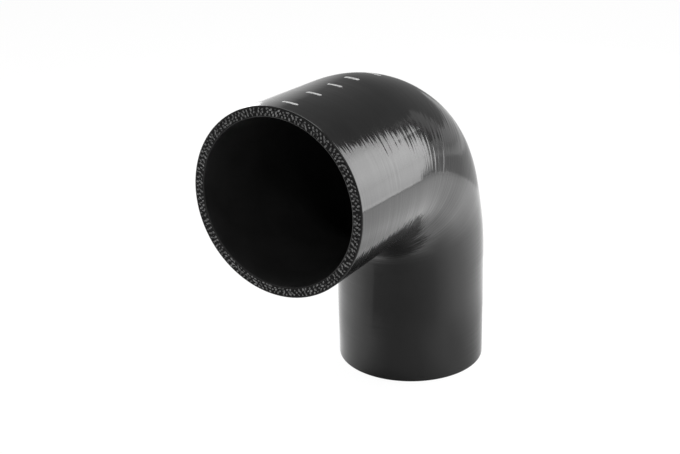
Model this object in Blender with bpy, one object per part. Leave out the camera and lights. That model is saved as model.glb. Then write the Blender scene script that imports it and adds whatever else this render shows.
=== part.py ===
"""A moulded silicone reducing elbow: a 90 degree coupler hose, made as one solid.

The hose stands on its narrow mouth, with its wide mouth facing -Y. The model is in metres with
+Z up, and the origin is on the floor in the middle of the hose's footprint.
Run it with: blender --background --python part.py
"""

import math

import bmesh
import bpy
from mathutils import Matrix, Vector

# Driving dimensions, in metres
WIDE_BORE = 0.076
NARROW_BORE = 0.070
WALL = 0.005
WIDE_LEG = 0.125  # from the corner, where the two legs' axes cross, to the wide mouth's end face
NARROW_LEG = 0.125  # from the corner to the narrow mouth's end face
BEND_RADIUS = 0.065  # of the centreline
BEND_ANGLE = math.radians(90)
EDGE_ROUND = 0.0005  # radius that trimming leaves on the four edges of the end faces

# Where the bore widens, as shares of the bend, counted from its narrow end
TAPER_START = 0.19
TAPER_END = 0.64

# From the corner back to where the bend begins, along either leg
BEND_TANGENT = BEND_RADIUS * math.tan(BEND_ANGLE / 2.0)

# Fineness of the mesh
SIDES = 72
BEND_STEPS = 24
EDGE_STEPS = 2

# Finish
SILICONE_BLACK = (0.022, 0.022, 0.023, 1.0)
SILICONE_ROUGHNESS = 0.35


def clear_scene():
    """Removes whatever the file held before."""
    for old in list(bpy.data.objects):
        bpy.data.objects.remove(old, do_unlink=True)


def silicone():
    """The hose's black silicone."""
    material = bpy.data.materials.new("black_silicone")
    material.use_nodes = True
    shader = material.node_tree.nodes["Principled BSDF"]
    shader.inputs["Base Color"].default_value = SILICONE_BLACK
    shader.inputs["Roughness"].default_value = SILICONE_ROUGHNESS
    shader.inputs["Metallic"].default_value = 0.0
    return material


def bore_radius(share):
    """Radius of the bore at a share of the bend, eased from the narrow bore to the wide one."""
    widened = (share - TAPER_START) / (TAPER_END - TAPER_START)
    widened = min(max(widened, 0.0), 1.0)
    eased = widened * widened * (3.0 - 2.0 * widened)
    return (NARROW_BORE + (WIDE_BORE - NARROW_BORE) * eased) / 2.0


def frame_at(share, along=0.0):
    """A section's frame at a share of the bend, moved along the leg that leaves the bend there.

    Its Z runs up the hose, from the narrow mouth to the wide one. The narrow mouth's middle is
    the origin, and the bend turns about a pivot in front of it.
    """
    pivot = Vector((0.0, -BEND_RADIUS, NARROW_LEG - BEND_TANGENT))
    arm = Vector((0.0, BEND_RADIUS, 0.0))
    turn = Matrix.Rotation(BEND_ANGLE * share, 4, "X")
    return Matrix.Translation(pivot) @ turn @ Matrix.Translation(arm + Vector((0.0, 0.0, along)))


def sections_up_the_hose():
    """Frame and bore radius of each section, from the narrow mouth to the wide one."""
    narrow_mouth = (frame_at(0.0, BEND_TANGENT - NARROW_LEG), bore_radius(0.0))
    wide_mouth = (frame_at(1.0, WIDE_LEG - BEND_TANGENT), bore_radius(1.0))
    shares = [step / BEND_STEPS for step in range(BEND_STEPS + 1)]
    bend = [(frame_at(share), bore_radius(share)) for share in shares]
    return [narrow_mouth] + bend + [wide_mouth]


def add_ring(bm, frame, radius):
    """The vertices of one circle round the hose's axis."""
    angles = [math.tau * side / SIDES for side in range(SIDES)]
    points = [Vector((radius * math.cos(a), radius * math.sin(a), 0.0)) for a in angles]
    return [bm.verts.new(frame @ point) for point in points]


def add_band(bm, lower, upper):
    """The quads between two rings. They face away from the axis where upper is further along it."""
    for side in range(SIDES):
        following = (side + 1) % SIDES
        bm.faces.new((lower[side], lower[following], upper[following], upper[side]))


def ring_edges(bm, ring):
    """The edges that run round a ring."""
    return [bm.edges.get((ring[side - 1], ring[side])) for side in range(SIDES)]


def elbow_mesh():
    """The hose's wall: an outer skin, a bore, two flat end faces and their rounded edges."""
    bm = bmesh.new()
    sections = sections_up_the_hose()
    outside = [add_ring(bm, frame, radius + WALL) for frame, radius in sections]
    bore = [add_ring(bm, frame, radius) for frame, radius in sections]
    # Up the outside, over the wide mouth's end face, down the bore and back over the narrow one's
    rings = outside + bore[::-1]
    for lower, upper in zip(rings, rings[1:] + rings[:1]):
        add_band(bm, lower, upper)
    end_rings = (outside[0], outside[-1], bore[0], bore[-1])
    bmesh.ops.bevel(
        bm,
        geom=[edge for ring in end_rings for edge in ring_edges(bm, ring)],
        offset=EDGE_ROUND,
        offset_type="OFFSET",
        segments=EDGE_STEPS,
        profile=0.5,
        affect="EDGES",
    )
    mesh = bpy.data.meshes.new("elbow_hose")
    bm.to_mesh(mesh)
    bm.free()
    mesh.shade_smooth()
    mesh.set_sharp_from_angle(angle=math.radians(50))
    return mesh


def build_hose():
    """Places the hose so that the middle of its footprint is at the origin."""
    hose = bpy.data.objects.new("elbow_hose", elbow_mesh())
    bpy.context.scene.collection.objects.link(hose)
    hose.data.materials.append(silicone())
    reach = [vertex.co.y for vertex in hose.data.vertices]
    hose.location.y = -(min(reach) + max(reach)) / 2.0


def main():
    clear_scene()
    build_hose()


main()
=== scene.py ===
"""Looks of the silicone elbow hose: its wrapped skin, its cut plies, its bars, the studio and the camera.

The hose stands on its narrow mouth, with its wide mouth facing -Y, as in the CAD model.
Lengths are in metres. "Along" is the length along the hose's axis, from the narrow mouth, and
"around" is the angle about that axis, from the outside of the bend towards +X.
"""

import math
import random

import bpy
from mathutils import Matrix, Vector, noise

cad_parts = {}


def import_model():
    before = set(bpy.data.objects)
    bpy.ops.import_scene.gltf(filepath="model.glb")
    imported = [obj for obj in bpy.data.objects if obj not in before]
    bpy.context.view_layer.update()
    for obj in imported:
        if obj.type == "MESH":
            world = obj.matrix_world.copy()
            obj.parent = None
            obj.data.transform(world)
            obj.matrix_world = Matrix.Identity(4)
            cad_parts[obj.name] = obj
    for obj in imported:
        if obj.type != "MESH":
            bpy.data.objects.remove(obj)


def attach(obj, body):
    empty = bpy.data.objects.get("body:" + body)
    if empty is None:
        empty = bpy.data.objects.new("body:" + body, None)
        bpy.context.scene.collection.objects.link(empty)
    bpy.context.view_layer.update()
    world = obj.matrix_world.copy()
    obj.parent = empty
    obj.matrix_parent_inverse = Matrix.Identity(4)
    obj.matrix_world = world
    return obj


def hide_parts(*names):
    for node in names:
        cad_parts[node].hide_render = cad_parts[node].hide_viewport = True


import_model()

# The CAD model's sizes
WIDE_BORE = 0.076
NARROW_BORE = 0.070
WALL = 0.005
WIDE_LEG = 0.125
NARROW_LEG = 0.125
BEND_RADIUS = 0.065
BEND_ANGLE = math.radians(90)
EDGE_ROUND = 0.0005
TAPER_START = 0.19
TAPER_END = 0.64

# Lengths along the axis
BEND_TANGENT = BEND_RADIUS * math.tan(BEND_ANGLE / 2.0)
NARROW_STRAIGHT = NARROW_LEG - BEND_TANGENT
BEND_LENGTH = BEND_RADIUS * BEND_ANGLE
WIDE_STRAIGHT = WIDE_LEG - BEND_TANGENT
HOSE_LENGTH = NARROW_STRAIGHT + BEND_LENGTH + WIDE_STRAIGHT

# Where the narrow leg's axis meets the floor, with the origin in the middle of the footprint
FOOT_Y = (WIDE_LEG - NARROW_BORE / 2.0 - WALL) / 2.0

# Fineness of the wall's mesh, and the angle from which its edges stay sharp
SIDES = 120
SKIN_STEP = 0.0004
BORE_STEP = 0.003
EDGE_STEPS = 4
SHARP_FROM = math.radians(40)

# The outer skin, set in a little so that its ridges stay inside the CAD model's surface
SKIN_INSET = 0.0001
FADE_AT_MOUTH = 0.0015
RIDGE_HEIGHT = 0.000036
SWELL_HEIGHT = 0.00007
WRINKLE_HEIGHT = 0.00012
WRINKLE_SINK = 0.5  # how far the wrinkles lie into the skin, as a share of their height

# The skin's noises: pitch along the hose, scale around it, and where in the noise each starts
RIDGES = (0.0010, 1.7, (0.0, 0.0))
PATCHES = (0.02, 1.5, (7.0, 3.0))
SWELLS = (0.009, 2.2, (5.0, 1.0))
WRINKLES = (0.0028, 2.5, (2.0, 9.0))

# How the patches weaken and strengthen the ridges
PATCH_MEAN = 0.75
PATCH_SWING = 0.8
PATCH_LEAST = 0.1

# Where the ridges stand higher: on the shoulder of the wide leg, most of all beside the bend's
# start, and along the same leg's underside. Along the leg, a gain takes GAIN_RISE to set in.
GAIN_RISE = 0.02
SHOULDER_AROUND = math.radians(65)
SHOULDER_WIDTH = math.radians(24)
SHOULDER_START = 0.165
SHOULDER_GAIN = 0.5
STREAK_ALONG = 0.147
STREAK_LENGTH = 0.011
STREAK_GAIN = 1.5
UNDERSIDE_AROUND = math.radians(138)
UNDERSIDE_WIDTH = math.radians(20)
UNDERSIDE_START = 0.110
UNDERSIDE_GAIN = 2.6

# The cut faces: where each lies along the hose, and the way from it into the wall
WIDE_FACE = (HOSE_LENGTH, -1.0)
NARROW_FACE = (0.0, 1.0)
OUTER_SKIN = 0.0009
INNER_SKIN = 0.0006
PLY_RECESS = 0.00012
PLY_STEP = 0.0001
PLY_BAND = WALL - OUTER_SKIN - INNER_SKIN

# The dome of a cut yarn: the width of its rim as a share of its foot's, and as shares of the
# plies' recess, how far the rim lies below the top and how deep the foot is sunk
DOME_CORNERS = 10
DOME_RIM_WIDTH = 0.65
DOME_RIM_DROP = 0.3
DOME_FOOT_DEPTH = 1.4

# The rows of yarns: their sizes, how deep their tops lie in the cut face, and how far each yarn
# strays from its row, and along it as a share of the pitch
YARN_ROWS = 3
YARN_PITCH = 0.0021
YARN_LENGTH = (0.0010, 0.0022)
YARN_WIDTH = (0.0007, 0.0011)
YARN_SUNK = (0.0, 0.00004)
YARN_OFF_ROW = 0.00025
YARN_OFF_PITCH = 0.2

# The lean of the yarns, its slow drift round a face, and its change from yarn to yarn
LEAN = math.radians(60)
LEAN_DRIFT = 2.6
LEAN_JITTER = 0.35
DRIFT_SCALE = 2.5
DRIFT_PER_ROW = 0.35

# The ends of filaments, and the part of the plies' band that they lie in
SPECKS = 230
SPECK_BAND = (0.1, 0.9)
SPECK_LENGTH = (0.0003, 0.0008)
SPECK_WIDTH = (0.0002, 0.00035)
SPECK_SUNK = (0.00002, 0.00006)

# The plain bars printed along the outside of the wide leg
BAR_ALONGS = (0.2130, 0.1944, 0.1770, 0.1620, 0.1494)
BAR_AROUND = math.radians(5.7)
BAR_LENGTH = 0.0080
BAR_WIDTH = 0.0020
BAR_HEIGHT = 0.00003
BAR_ROWS = 8
BAR_COLUMNS = 16

# The photo's viewpoint, fitted to the hose's outline and to the edges of its mouth
CAMERA_PLACE = (0.238144, -0.420877, 0.268136)
CAMERA_YAW = math.radians(31.3397)
CAMERA_PITCH = math.radians(20.4961)
CAMERA_ROLL = math.radians(-1.8836)
LENS_MM = 54.31
SENSOR_MM = 36.0

# The middle of a noise texture's values, which the materials spread between two levels
NOISE_MIDDLE = (0.3, 0.7)

# How bright the room is to all rays but the camera's own, and to gloss
ROOM = 0.30
ROOM_IN_GLOSS = 0.27

# The floor: half its side, its gap below the hose and its grey. To the camera, a glow takes the
# place of most of that grey, by the share WHITE_TO_CAMERA.
FLOOR_HALF = 3.0
FLOOR_GAP = 0.0002
FLOOR_GREY = 0.5
FLOOR_GLOW = 1.12
WHITE_TO_CAMERA = 0.85

# In gloss the floor shows a painted pool of light round the lower leg, a glow that no lamp gives.
# POOL_EDGE has the distances from the leg where the pool is gone and where it is full. BACK_EDGE has the
# far and the near side of a straight edge behind the leg, and BEHIND_EDGE is the share of the painted
# light that is left past it.
POOL_EDGE = (2.50, 0.90)
BACK_EDGE = (0.345, 0.315)
BEHIND_EDGE = 0.35

# Distances from the leg's axis between which the levels next to the foot take over
NEAR_FOOT = (0.13, 0.07)

# How bright the floor's painted light is in gloss at each bearing from the lower leg, in degrees from the
# front towards +X. It is a painted shadow in front, where the wide leg shades it, and bright at the
# sides.
PAINTED_LIGHT_BY_BEARING = (
    (-180, 0.60),
    (-90, 0.75),
    (-62, 0.90),
    (-46, 0.75),
    (-34, 0.45),
    (-25, 0.30),
    (-22, 0.02),
    (20, 0.02),
    (38, 0.07),
    (58, 0.20),
    (72, 0.50),
    (90, 0.78),
    (118, 0.84),
    (140, 0.78),
    (155, 0.68),
    (180, 0.60),
)

# The same next to the foot, where the painted shadow in front is narrower and there is painted shade
# behind too
PAINTED_LIGHT_NEAR_FOOT = (
    (-180, 0.10),
    (-120, 0.50),
    (-90, 0.60),
    (-60, 0.75),
    (-40, 0.70),
    (-24, 0.55),
    (-8, 0.20),
    (4, 0.06),
    (20, 0.08),
    (38, 0.18),
    (55, 0.42),
    (68, 0.50),
    (84, 0.38),
    (118, 0.36),
    (180, 0.10),
)

# Material slots of the wall
SKIN, BORE, PLIES = range(3)


def clamp(value):
    """The value, kept between 0 and 1."""
    return min(max(value, 0.0), 1.0)


def bore_radius(along):
    """Radius of the bore, eased from the narrow one to the wide one within the bend."""
    share = (along - NARROW_STRAIGHT) / BEND_LENGTH
    widened = clamp((share - TAPER_START) / (TAPER_END - TAPER_START))
    eased = widened * widened * (3.0 - 2.0 * widened)
    return (NARROW_BORE + (WIDE_BORE - NARROW_BORE) * eased) / 2.0


def section(along):
    """Centre of a section, and its direction towards the outside of the bend."""
    turn = min(max((along - NARROW_STRAIGHT) / BEND_RADIUS, 0.0), BEND_ANGLE)
    outward = Vector((0.0, math.cos(turn), math.sin(turn)))
    forward = Vector((0.0, -math.sin(turn), math.cos(turn)))
    pivot = Vector((0.0, FOOT_Y - BEND_RADIUS, NARROW_STRAIGHT))
    past = along - NARROW_STRAIGHT - turn * BEND_RADIUS
    return pivot + outward * BEND_RADIUS + forward * past, outward


def on_hose(along, around, radius):
    """A point at a length along the axis, an angle around it and a distance from it."""
    centre, outward = section(along)
    sideways = Vector((radius * math.sin(around), 0.0, 0.0))
    return centre + outward * (radius * math.cos(around)) + sideways


def bend_share(along):
    """1 in the middle of the bend, falling to 0 at its ends and on the legs."""
    share = (along - NARROW_STRAIGHT) / BEND_LENGTH
    return math.sin(math.pi * clamp(share))


def crotch_share(along, around):
    """1 at the inside of the bend, falling to 0 at its sides and at its ends."""
    return bend_share(along) * max(-math.cos(around), 0.0) ** 3


def bell(value, middle, width):
    """1 at the middle, falling smoothly to nothing a few widths away."""
    return math.exp(-((value - middle) / width) ** 2)


def ridge_gain(along, around):
    """How much higher than elsewhere the ridges are at a place."""
    from_outside = math.acos(min(max(math.cos(around), -1.0), 1.0))
    shoulder = bell(from_outside, SHOULDER_AROUND, SHOULDER_WIDTH)
    by_bend = bell(along, STREAK_ALONG, STREAK_LENGTH)
    to_mouth = clamp((along - SHOULDER_START) / GAIN_RISE)
    under = bell(from_outside, UNDERSIDE_AROUND, UNDERSIDE_WIDTH)
    on_wide_leg = clamp((along - UNDERSIDE_START) / GAIN_RISE)
    gain = shoulder * (STREAK_GAIN * by_bend + SHOULDER_GAIN * to_mouth)
    return 1.0 + gain + UNDERSIDE_GAIN * on_wide_leg * under


def skin_noise(along, around, pitch, scale, start):
    """Noise over the skin. It has no seam, as it is read off round a circle."""
    turned = Vector((math.cos(around), math.sin(around), 0.0))
    return noise.noise(turned * scale + Vector((start[0], start[1], along / pitch)))


def skin_height(along, around):
    """Height of the skin over its mean: the tape's ridges, slower swells and the crotch's wrinkles."""
    ridges = skin_noise(along, around, *RIDGES)
    patchy = PATCH_MEAN + PATCH_SWING * skin_noise(along, around, *PATCHES)
    swells = skin_noise(along, around, *SWELLS)
    wrinkles = skin_noise(along, around, *WRINKLES)
    gain = ridge_gain(along, around)
    height = RIDGE_HEIGHT * gain * ridges * max(patchy, PATCH_LEAST) + SWELL_HEIGHT * swells
    height += WRINKLE_HEIGHT * crotch_share(along, around) * (wrinkles - WRINKLE_SINK)
    to_mouth = min(along, HOSE_LENGTH - along) - EDGE_ROUND
    return height * clamp(to_mouth / FADE_AT_MOUTH)


def skin_radius(along, around):
    """Distance of the skin from the axis, never past the CAD model's."""
    nominal = bore_radius(along) + WALL
    return min(nominal - SKIN_INSET + skin_height(along, around), nominal)


def steps(start, end, size):
    """Even steps from start to end, both included, each about as long as size."""
    count = max(1, round((end - start) / size))
    return [start + (end - start) * step / count for step in range(count + 1)]


def rounded_edge():
    """Depth and inset of each ring over a rounded edge, from the wall's side to its cut face."""
    turns = [math.pi / 2.0 * step / EDGE_STEPS for step in range(1, EDGE_STEPS + 1)]
    return [(EDGE_ROUND * (1.0 - math.sin(turn)), EDGE_ROUND * (1.0 - math.cos(turn))) for turn in turns]


def cut_face(mouth, inward):
    """Rings of a cut face, from the outer edge to the inner one. The plies lie a little deeper."""
    bore = bore_radius(mouth)
    outside = bore + WALL - SKIN_INSET
    plies_out = bore + WALL - OUTER_SKIN
    plies_in = bore + INNER_SKIN
    recessed = mouth + inward * PLY_RECESS
    outer_edge = [(mouth + inward * deep, outside - inset) for deep, inset in rounded_edge()]
    inner_edge = [(mouth + inward * deep, bore + inset) for deep, inset in reversed(rounded_edge())]
    plies = [
        (mouth, plies_out + PLY_STEP),
        (recessed, plies_out),
        (recessed, plies_in),
        (mouth, plies_in - PLY_STEP),
    ]
    return outer_edge + plies + inner_edge


def wall_profile():
    """The rings round the wall's section: up the skin, over the wide face, down the bore and back.

    Each is a length along the hose and a radius, with no radius for the rings of the skin.
    """
    first = EDGE_ROUND
    last = HOSE_LENGTH - EDGE_ROUND
    skin = [(along, None) for along in steps(first, last, SKIN_STEP)]
    bore = [(along, bore_radius(along)) for along in steps(first, last, BORE_STEP)]
    return skin + cut_face(*WIDE_FACE) + bore[::-1] + cut_face(*NARROW_FACE)[::-1]


def band_slot(ring, following):
    """Which material the band between two rings has."""
    if ring[1] is None or following[1] is None:
        return SKIN
    radius = (ring[1] + following[1]) / 2.0
    past_bore = radius - bore_radius(ring[0])
    if past_bore < EDGE_ROUND / 2.0:
        return BORE
    flat = ring[0] == following[0]
    return PLIES if flat and INNER_SKIN < past_bore < WALL - OUTER_SKIN else SKIN


def wall_points(profile):
    """The points of the wall's rings, and their coordinates on a hose that was never bent."""
    points = []
    unbent = []
    for along, radius in profile:
        for side in range(SIDES):
            around = math.tau * side / SIDES
            reach = skin_radius(along, around) if radius is None else radius
            points.append(tuple(on_hose(along, around, reach)))
            unbent += [reach * math.cos(around), reach * math.sin(around), along]
    return points, unbent


def wall_faces(rings):
    """The quads between each ring and the next. The last ring joins the first."""
    faces = []
    for ring in range(rings):
        first = ring * SIDES
        second = ((ring + 1) % rings) * SIDES
        for side in range(SIDES):
            following = (side + 1) % SIDES
            faces.append((first + side, second + side, second + following, first + following))
    return faces


def hose_wall():
    """The whole wall as one closed mesh."""
    profile = wall_profile()
    points, unbent = wall_points(profile)
    slots = []
    for ring, following in zip(profile, profile[1:] + profile[:1]):
        slots += [band_slot(ring, following)] * SIDES
    mesh = bpy.data.meshes.new("hose_wall")
    mesh.from_pydata(points, [], wall_faces(len(profile)))
    mesh.polygons.foreach_set("material_index", slots)
    mesh.shade_smooth()
    mesh.set_sharp_from_angle(angle=SHARP_FROM)
    add_bake_map(mesh, profile)
    mesh.attributes.new("unbent", "FLOAT_VECTOR", "POINT").data.foreach_set("vector", unbent)
    return new_piece("hose_wall", mesh)


def add_bake_map(mesh, profile):
    """A map named OFBake: around the hose, and along the wall's section."""
    outer = bore_radius(HOSE_LENGTH) + WALL
    rings = [(along, outer if radius is None else radius) for along, radius in profile]
    travelled = [0.0]
    for (along, radius), (next_along, next_radius) in zip(rings, rings[1:] + rings[:1]):
        travelled.append(travelled[-1] + math.hypot(next_along - along, next_radius - radius))
    uv = []
    for band in range(len(rings)):
        low = travelled[band] / travelled[-1]
        high = travelled[band + 1] / travelled[-1]
        for side in range(SIDES):
            left = side / SIDES
            right = (side + 1) / SIDES
            uv += [left, low, left, high, right, high, right, low]
    mesh.uv_layers.new(name="OFBake").data.foreach_set("uv", uv)


def new_piece(name, mesh):
    """Puts a mesh into the scene as an object of its own."""
    piece = bpy.data.objects.new(name, mesh)
    bpy.context.scene.collection.objects.link(piece)
    return piece


def smooth_piece(name, points, faces):
    """A smooth-shaded piece from points and faces."""
    mesh = bpy.data.meshes.new(name)
    mesh.from_pydata([tuple(point) for point in points], [], faces)
    mesh.shade_smooth()
    return new_piece(name, mesh)


def add_stroke(points, faces, face, place, size, tilt, sunk):
    """A cut yarn on a face: a low dome, longer one way than the other."""
    mouth, inward = face
    around, radius = place
    length, width = size
    first = len(points)
    points.append(on_hose(mouth + inward * sunk, around, radius))
    rim = (DOME_RIM_WIDTH, sunk + PLY_RECESS * DOME_RIM_DROP)
    foot = (1.0, PLY_RECESS * DOME_FOOT_DEPTH)
    for spread, deep in (rim, foot):
        for corner in range(DOME_CORNERS):
            turn = math.tau * corner / DOME_CORNERS
            lengthways = length / 2.0 * spread * math.cos(turn)
            across = width / 2.0 * spread * math.sin(turn)
            aside = lengthways * math.cos(tilt) - across * math.sin(tilt)
            out = lengthways * math.sin(tilt) + across * math.cos(tilt)
            points.append(on_hose(mouth + inward * deep, around + aside / radius, radius + out))
    for corner in range(DOME_CORNERS):
        following = (corner + 1) % DOME_CORNERS
        inner = (first + 1 + corner, first + 1 + following)
        outer = (inner[0] + DOME_CORNERS, inner[1] + DOME_CORNERS)
        faces.append((first, inner[0], inner[1]))
        faces.append((inner[0], outer[0], outer[1], inner[1]))


def add_yarn_rows(points, faces, face, chance):
    """Rows of cut yarns. Their lean drifts round the face, because the cloth is cut on the bias."""
    inner = bore_radius(face[0]) + INNER_SKIN
    for row in range(YARN_ROWS):
        middle = inner + PLY_BAND * (row + 0.5) / YARN_ROWS
        count = round(math.tau * middle / YARN_PITCH)
        shift = chance.uniform(0.0, math.tau)
        for yarn in range(count):
            around = math.tau * (yarn + chance.uniform(-YARN_OFF_PITCH, YARN_OFF_PITCH)) / count + shift
            circle = (math.cos(around) * DRIFT_SCALE, math.sin(around) * DRIFT_SCALE)
            drift = noise.noise(Vector((*circle, row * DRIFT_PER_ROW + face[0])))
            tilt = LEAN + drift * LEAN_DRIFT + chance.uniform(-LEAN_JITTER, LEAN_JITTER)
            length = chance.uniform(*YARN_LENGTH)
            width = chance.uniform(*YARN_WIDTH)
            radius = middle + chance.uniform(-YARN_OFF_ROW, YARN_OFF_ROW)
            sunk = chance.uniform(*YARN_SUNK)
            add_stroke(points, faces, face, (around, radius), (length, width), tilt, sunk)


def add_yarn_specks(points, faces, face, chance):
    """Smaller ends of filaments, strewn over the plies."""
    inner = bore_radius(face[0]) + INNER_SKIN
    for _ in range(SPECKS):
        around = chance.uniform(0.0, math.tau)
        radius = inner + PLY_BAND * chance.uniform(*SPECK_BAND)
        length = chance.uniform(*SPECK_LENGTH)
        width = chance.uniform(*SPECK_WIDTH)
        tilt = chance.uniform(0.0, math.pi)
        sunk = chance.uniform(*SPECK_SUNK)
        add_stroke(points, faces, face, (around, radius), (length, width), tilt, sunk)


def cut_plies(name, face, seed):
    """The yarns of the fabric plies that show on one cut face."""
    chance = random.Random(seed)
    points = []
    faces = []
    add_yarn_rows(points, faces, face, chance)
    add_yarn_specks(points, faces, face, chance)
    return smooth_piece(name, points, faces)


def add_bar(points, faces, along, around):
    """A thin bar of ink with round ends, laid on the skin across the hose."""
    first = len(points)
    for row in range(BAR_ROWS + 1):
        aside = BAR_WIDTH * (row / BAR_ROWS - 0.5)
        round_end = math.sqrt(max((BAR_WIDTH / 2.0) ** 2 - aside ** 2, 0.0))
        half = (BAR_LENGTH - BAR_WIDTH) / 2.0 + round_end
        for column in range(BAR_COLUMNS + 1):
            place = along + aside
            turn = around + half * (2.0 * column / BAR_COLUMNS - 1.0) / (bore_radius(along) + WALL)
            edge = row in (0, BAR_ROWS) or column in (0, BAR_COLUMNS)
            height = -BAR_HEIGHT if edge else BAR_HEIGHT
            points.append(on_hose(place, turn, skin_radius(place, turn) + height))
    for row in range(BAR_ROWS):
        for column in range(BAR_COLUMNS):
            corner = first + row * (BAR_COLUMNS + 1) + column
            above = corner + BAR_COLUMNS + 1
            faces.append((corner, corner + 1, above + 1, above))


def printed_bars():
    """Plain bars of ink along the outside of the wide leg."""
    points = []
    faces = []
    for along in BAR_ALONGS:
        add_bar(points, faces, along, BAR_AROUND)
    return smooth_piece("printed_bars", points, faces)


def new_material(name):
    """A material, with its nodes and its links."""
    material = bpy.data.materials.new(name)
    material.use_nodes = True
    return material, material.node_tree.nodes, material.node_tree.links


def add_noise(nodes, links, vector, scale, detail):
    """A noise texture over a vector output."""
    texture = nodes.new("ShaderNodeTexNoise")
    texture.inputs["Scale"].default_value = scale
    texture.inputs["Detail"].default_value = detail
    links.new(vector, texture.inputs["Vector"])
    return texture.outputs["Fac"]


def add_range(nodes, links, value, low, high):
    """Spreads the middle of a noise between two values."""
    spread = nodes.new("ShaderNodeMapRange")
    spread.inputs["From Min"].default_value = NOISE_MIDDLE[0]
    spread.inputs["From Max"].default_value = NOISE_MIDDLE[1]
    spread.inputs["To Min"].default_value = low
    spread.inputs["To Max"].default_value = high
    links.new(value, spread.inputs["Value"])
    return spread.outputs["Result"]


def set_grey(nodes, links, shader, value, low, high):
    """Gives a shader a neutral base colour that follows a noise, between two values."""
    spread = add_range(nodes, links, value, low, high)
    colour = nodes.new("ShaderNodeCombineColor")
    for channel in ("Red", "Green", "Blue"):
        links.new(spread, colour.inputs[channel])
    links.new(colour.outputs["Color"], shader.inputs["Base Color"])


def set_bump(nodes, links, shader, height, distance):
    """Gives a shader fine relief that follows a noise."""
    bump = nodes.new("ShaderNodeBump")
    bump.inputs["Distance"].default_value = distance
    links.new(height, bump.inputs["Height"])
    links.new(bump.outputs["Normal"], shader.inputs["Normal"])


def unbent_place(nodes, links, lengthways):
    """Place on the hose as if it were straight, stretched along its length."""
    place = nodes.new("ShaderNodeAttribute")
    place.attribute_name = "unbent"
    scaled = nodes.new("ShaderNodeVectorMath")
    scaled.operation = "MULTIPLY"
    scaled.inputs[1].default_value = (1.0, 1.0, lengthways)
    links.new(place.outputs["Vector"], scaled.inputs[0])
    return scaled.outputs["Vector"]


def silicone():
    """Glossy black silicone that was cured under tape: fine rings, and smears along them."""
    material, nodes, links = new_material("black_silicone_skin")
    shader = nodes["Principled BSDF"]
    shader.inputs["IOR"].default_value = 1.47
    patches = add_noise(nodes, links, unbent_place(nodes, links, lengthways=1.0), scale=45.0, detail=5.0)
    set_grey(nodes, links, shader, patches, low=0.004, high=0.009)
    smears = add_noise(nodes, links, unbent_place(nodes, links, lengthways=12.0), scale=40.0, detail=4.0)
    links.new(add_range(nodes, links, smears, low=0.07, high=0.12), shader.inputs["Roughness"])
    rings = add_noise(nodes, links, unbent_place(nodes, links, lengthways=24.0), scale=60.0, detail=2.0)
    set_bump(nodes, links, shader, rings, distance=0.000006)
    return material


def bore_silicone():
    """The bore's black silicone, dulled by the mandrel that it was cured on. Its grey is paler than the
    skin's, partly for that dull finish and partly as painted light in the dim bore.
    """
    material, nodes, links = new_material("bore_silicone")
    shader = nodes["Principled BSDF"]
    shader.inputs["IOR"].default_value = 1.43
    place = unbent_place(nodes, links, lengthways=1.0)
    patches = add_noise(nodes, links, place, scale=60.0, detail=5.0)
    # Paler than the skin: partly the dull finish, partly painted light for the dimly lit bore
    set_grey(nodes, links, shader, patches, low=0.022, high=0.034)
    links.new(add_range(nodes, links, patches, low=0.42, high=0.55), shader.inputs["Roughness"])
    grain = add_noise(nodes, links, place, scale=1500.0, detail=2.0)
    set_bump(nodes, links, shader, grain, distance=0.00002)
    return material


def cut_rubber():
    """Silicone between the plies, cut through and a little torn by the blade. Its darker patches are
    painted shade, for the gaps between the yarns.
    """
    material, nodes, links = new_material("cut_rubber")
    shader = nodes["Principled BSDF"]
    shader.inputs["IOR"].default_value = 1.43
    shader.inputs["Specular IOR Level"].default_value = 0.25
    patches = add_noise(nodes, links, unbent_place(nodes, links, lengthways=1.0), scale=900.0, detail=4.0)
    # The darker patches of this grey are painted shade in the gaps between the yarns
    set_grey(nodes, links, shader, patches, low=0.002, high=0.016)
    links.new(add_range(nodes, links, patches, low=0.5, high=0.75), shader.inputs["Roughness"])
    set_bump(nodes, links, shader, patches, distance=0.00008)
    return material


def yarn():
    """Pale polyester yarn, darker where silicone has soaked into it."""
    material, nodes, links = new_material("ply_yarn")
    shader = nodes["Principled BSDF"]
    shader.inputs["Roughness"].default_value = 0.7
    place = nodes.new("ShaderNodeTexCoord").outputs["Object"]
    soaked = add_noise(nodes, links, place, scale=700.0, detail=3.0)
    set_grey(nodes, links, shader, soaked, low=0.05, high=0.42)
    filaments = add_noise(nodes, links, place, scale=4000.0, detail=2.0)
    set_bump(nodes, links, shader, filaments, distance=0.00004)
    return material


def ink():
    """Pale grey ink, thinly printed."""
    material, nodes, links = new_material("pale_ink")
    shader = nodes["Principled BSDF"]
    shader.inputs["Roughness"].default_value = 0.45
    place = nodes.new("ShaderNodeTexCoord").outputs["Object"]
    cover = add_noise(nodes, links, place, scale=900.0, detail=4.0)
    set_grey(nodes, links, shader, cover, low=0.38, high=0.55)
    return material


def set_ramp(ramp, stops):
    """Gives a colour ramp grey stops, each a position and a level."""
    ramp.elements[0].position = stops[0][0]
    ramp.elements[-1].position = stops[-1][0]
    for position, _ in stops[1:-1]:
        ramp.elements.new(position)
    for element, (_, level) in zip(ramp.elements, stops):
        element.color = (level, level, level, 1.0)


def fade(lamp, across, stops):
    """Makes a lamp uneven across its width (0) or its height (1)."""
    lamp.use_nodes = True
    nodes = lamp.node_tree.nodes
    links = lamp.node_tree.links
    place = nodes.new("ShaderNodeNewGeometry")
    apart = nodes.new("ShaderNodeSeparateXYZ")
    ramp = nodes.new("ShaderNodeValToRGB")
    set_ramp(ramp.color_ramp, stops)
    links.new(place.outputs["Parametric"], apart.inputs["Vector"])
    links.new(apart.outputs[across], ramp.inputs["Fac"])
    links.new(ramp.outputs["Color"], nodes["Emission"].inputs["Strength"])


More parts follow.
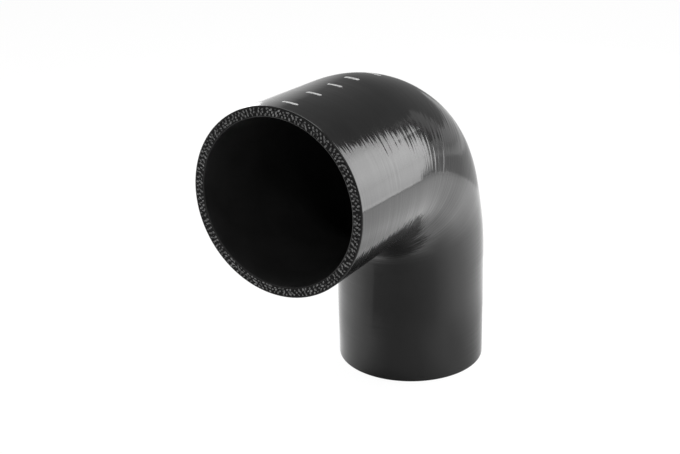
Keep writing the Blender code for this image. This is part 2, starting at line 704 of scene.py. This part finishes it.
def area_light(name, place, toward, size, radiance):
    """A soft rectangular lamp whose radiance is 1 where it looks white. The camera doesn't see it."""
    lamp = bpy.data.lights.new(name, "AREA")
    lamp.shape = "RECTANGLE"
    lamp.size = size[0]
    lamp.size_y = size[1]
    lamp.energy = radiance * math.pi * size[0] * size[1]
    light = bpy.data.objects.new(name, lamp)
    light.location = place
    light.rotation_euler = (Vector(toward) - Vector(place)).to_track_quat("-Z", "Y").to_euler()
    light.visible_camera = False
    bpy.context.scene.collection.objects.link(light)
    return lamp


def lights():
    """The studio's lamps: two at the photo's right, three at its left, two behind the hose, two
    overhead, and one in front. Each has a place, a point it faces, a size and a radiance."""
    key = area_light("key", (0.3596, 0.2095, 0.262), (0.0, -0.2, 0.262), (0.341, 0.512), 5.1)
    fade(key, 1, ((0.0, 0.50), (0.34, 1.0), (0.52, 1.0), (0.62, 0.80), (1.0, 0.80)))
    area_light("key_corner", (0.2248, 0.3278, 0.385), (0.0742, 0.2603, 0.385), (0.018, 0.27), 4.6)
    back_left = area_light("back_left", (-0.52, 0.608, 0.26), (0.0, 0.0, 0.26), (0.268, 0.48), 0.7)
    fade(back_left, 0, ((0.0, 0.0), (0.6, 1.0), (1.0, 1.0)))
    area_light("far_left", (-0.70, 0.40, 0.26), (0.0, 0.0, 0.26), (0.20, 0.48), 1.6)
    area_light("back_low", (0.13, 0.90, 0.096), (0.0, 0.0, 0.096), (0.80, 0.188), 0.45)
    area_light("back_right", (0.308, 0.846, 0.36), (0.0, 0.0, 0.36), (0.157, 0.34), 0.30)
    area_light("left", (-0.42, 0.17, 0.22), (0.0, 0.0, 0.22), (0.40, 0.42), 2.5)
    area_light("overhead", (-0.10, 0.35, 1.10), (0.0, 0.10, 0.0), (0.90, 0.90), 2.2)
    area_light("overhead_left", (-0.70, 0.10, 0.90), (0.0, 0.0, 0.0), (0.60, 0.60), 2.0)
    area_light("front_fill", (0.45, -0.85, 0.60), (0.0, 0.0, 0.12), (0.6, 0.6), 1.0)


def add_math(nodes, links, operation, first, second):
    """A sum done on one value and another value or number."""
    done = nodes.new("ShaderNodeMath")
    done.operation = operation
    links.new(first, done.inputs[0])
    if isinstance(second, float):
        done.inputs[1].default_value = second
    else:
        links.new(second, done.inputs[1])
    return done.outputs["Value"]


def add_between(nodes, links, share, low, high):
    """Low where a share is 0, rising evenly to high where it is 1."""
    done = nodes.new("ShaderNodeMath")
    done.operation = "MULTIPLY_ADD"
    done.inputs[1].default_value = high - low
    done.inputs[2].default_value = low
    links.new(share, done.inputs[0])
    return done.outputs["Value"]


def add_ramp(nodes, links, value, start, end):
    """Rises smoothly from 0 at start to 1 at end."""
    ramp = nodes.new("ShaderNodeMapRange")
    ramp.interpolation_type = "SMOOTHSTEP"
    ramp.inputs["From Min"].default_value = start
    ramp.inputs["From Max"].default_value = end
    links.new(value, ramp.inputs["Value"])
    return ramp.outputs["Result"]


def add_seen(nodes, links):
    """1 for what the camera sees by itself or through something, and 1 for what is seen in gloss."""
    path = nodes.new("ShaderNodeLightPath")
    through = path.outputs["Is Transmission Ray"]
    straight = add_math(nodes, links, "MAXIMUM", path.outputs["Is Camera Ray"], through)
    return straight, path.outputs["Is Glossy Ray"]


def world():
    """White to the camera, and a dim room to all else, a little dimmer still in the gloss."""
    studio = bpy.data.worlds.new("studio")
    studio.use_nodes = True
    nodes = studio.node_tree.nodes
    links = studio.node_tree.links
    background = nodes["Background"]
    background.inputs["Color"].default_value = (1.0, 1.0, 1.0, 1.0)
    straight, gloss = add_seen(nodes, links)
    room = add_between(nodes, links, gloss, ROOM, ROOM_IN_GLOSS)
    links.new(add_math(nodes, links, "MAXIMUM", room, straight), background.inputs["Strength"])
    bpy.context.scene.world = studio


def from_lower_leg(nodes, links):
    """The shaded point's bearing from the lower leg, as a share of a turn, its distance from the
    leg's axis, and how far behind that axis it is."""
    place = nodes.new("ShaderNodeNewGeometry")
    offset = nodes.new("ShaderNodeVectorMath")
    offset.operation = "SUBTRACT"
    offset.inputs[1].default_value = (0.0, FOOT_Y, 0.0)
    links.new(place.outputs["Position"], offset.inputs[0])
    distance = nodes.new("ShaderNodeVectorMath")
    distance.operation = "LENGTH"
    links.new(offset.outputs["Vector"], distance.inputs[0])
    apart = nodes.new("ShaderNodeSeparateXYZ")
    links.new(offset.outputs["Vector"], apart.inputs["Vector"])
    to_front = add_math(nodes, links, "MULTIPLY", apart.outputs["Y"], -1.0)
    bearing = add_math(nodes, links, "ARCTAN2", apart.outputs["X"], to_front)
    turned = nodes.new("ShaderNodeMapRange")
    turned.inputs["From Min"].default_value = -math.pi
    turned.inputs["From Max"].default_value = math.pi
    links.new(bearing, turned.inputs["Value"])
    return turned.outputs["Result"], distance.outputs["Value"], apart.outputs["Y"]


def add_level(nodes, links, turned, stops):
    """A level that follows the bearing, with its stops in degrees."""
    ramp = nodes.new("ShaderNodeValToRGB")
    set_ramp(ramp.color_ramp, [((degrees + 180) / 360, level) for degrees, level in stops])
    links.new(turned, ramp.inputs["Fac"])
    return ramp.outputs["Color"]


def painted_light_in_gloss(nodes, links, gloss):
    """How bright the floor's painted light and painted shade are in gloss, by its bearing from the lower
    leg and its distance.
    """
    turned, distance, behind = from_lower_leg(nodes, links)
    level = nodes.new("ShaderNodeMix")
    links.new(add_ramp(nodes, links, distance, *NEAR_FOOT), level.inputs["Factor"])
    links.new(add_level(nodes, links, turned, PAINTED_LIGHT_BY_BEARING), level.inputs["A"])
    links.new(add_level(nodes, links, turned, PAINTED_LIGHT_NEAR_FOOT), level.inputs["B"])
    in_front = add_ramp(nodes, links, behind, *BACK_EDGE)
    cut_off = add_between(nodes, links, in_front, BEHIND_EDGE, 1.0)
    within = add_math(nodes, links, "MULTIPLY", add_ramp(nodes, links, distance, *POOL_EDGE), cut_off)
    painted_pool = add_math(nodes, links, "MULTIPLY", within, level.outputs["Result"])
    return add_math(nodes, links, "MULTIPLY", painted_pool, gloss)


def floor_white():
    """White to the camera, less a part of the object's shadow, and grey to plain rays. In gloss a painted
    pool of light is added round the lower leg, with painted shade where the hose stands."""
    material, nodes, links = new_material("floor_white")
    nodes.remove(nodes["Principled BSDF"])
    diffuse = nodes.new("ShaderNodeBsdfDiffuse")
    diffuse.inputs["Color"].default_value = (FLOOR_GREY, FLOOR_GREY, FLOOR_GREY, 1.0)
    white = nodes.new("ShaderNodeEmission")
    white.inputs["Strength"].default_value = FLOOR_GLOW
    straight, gloss = add_seen(nodes, links)
    mixed = nodes.new("ShaderNodeMixShader")
    links.new(add_math(nodes, links, "MULTIPLY", straight, WHITE_TO_CAMERA), mixed.inputs["Fac"])
    links.new(diffuse.outputs["BSDF"], mixed.inputs[1])
    links.new(white.outputs["Emission"], mixed.inputs[2])
    # Painted light: a glow on the floor seen only in gloss, with painted shadow of the hose in it; no
    # lamp gives it
    painted_glossy_light = nodes.new("ShaderNodeEmission")
    links.new(painted_light_in_gloss(nodes, links, gloss), painted_glossy_light.inputs["Strength"])
    both = nodes.new("ShaderNodeAddShader")
    links.new(mixed.outputs["Shader"], both.inputs[0])
    links.new(painted_glossy_light.outputs["Emission"], both.inputs[1])
    links.new(both.outputs["Shader"], nodes["Material Output"].inputs["Surface"])
    return material


def floor():
    """A flat square under the hose, which belongs to the studio."""
    low = -FLOOR_HALF
    high = FLOOR_HALF
    corners = [(low, low, 0.0), (high, low, 0.0), (high, high, 0.0), (low, high, 0.0)]
    mesh = bpy.data.meshes.new("floor")
    mesh.from_pydata(corners, [], [(0, 1, 2, 3)])
    mesh.materials.append(floor_white())
    piece = new_piece("floor", mesh)
    piece.location.z = -FLOOR_GAP


def camera():
    """The photo's viewpoint. Yaw turns it about +Z, pitch raises it and roll tips the picture."""
    data = bpy.data.cameras.new("camera")
    data.sensor_width = SENSOR_MM
    data.lens = LENS_MM
    data.clip_start = 0.01
    data.clip_end = 100.0
    level = math.cos(CAMERA_PITCH)
    back = Vector((math.sin(CAMERA_YAW) * level, -math.cos(CAMERA_YAW) * level, math.sin(CAMERA_PITCH)))
    level_right = (-back).cross(Vector((0.0, 0.0, 1.0))).normalized()
    level_up = level_right.cross(-back)
    right = level_right * math.cos(CAMERA_ROLL) + level_up * math.sin(CAMERA_ROLL)
    up = level_up * math.cos(CAMERA_ROLL) - level_right * math.sin(CAMERA_ROLL)
    rotation = Matrix((right, up, back)).transposed()
    view = bpy.data.objects.new("camera", data)
    view.matrix_world = Matrix.Translation(CAMERA_PLACE) @ rotation.to_4x4()
    bpy.context.scene.collection.objects.link(view)
    bpy.context.scene.camera = view


def dress(piece, *materials):
    """Gives a piece its materials, and seats it on the hose's body."""
    for material in materials:
        piece.data.materials.append(material)
    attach(piece, "root")


def main():
    """Dresses the hose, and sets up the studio."""
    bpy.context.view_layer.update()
    wall = hose_wall()
    dress(wall, silicone(), bore_silicone(), cut_rubber())
    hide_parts("elbow_hose")
    thread = yarn()
    dress(cut_plies("cut_plies_wide", WIDE_FACE, seed=1), thread)
    dress(cut_plies("cut_plies_narrow", NARROW_FACE, seed=2), thread)
    dress(printed_bars(), ink())
    floor()
    lights()
    world()
    camera()
    bpy.context.scene.view_settings.view_transform = "Standard"


main()
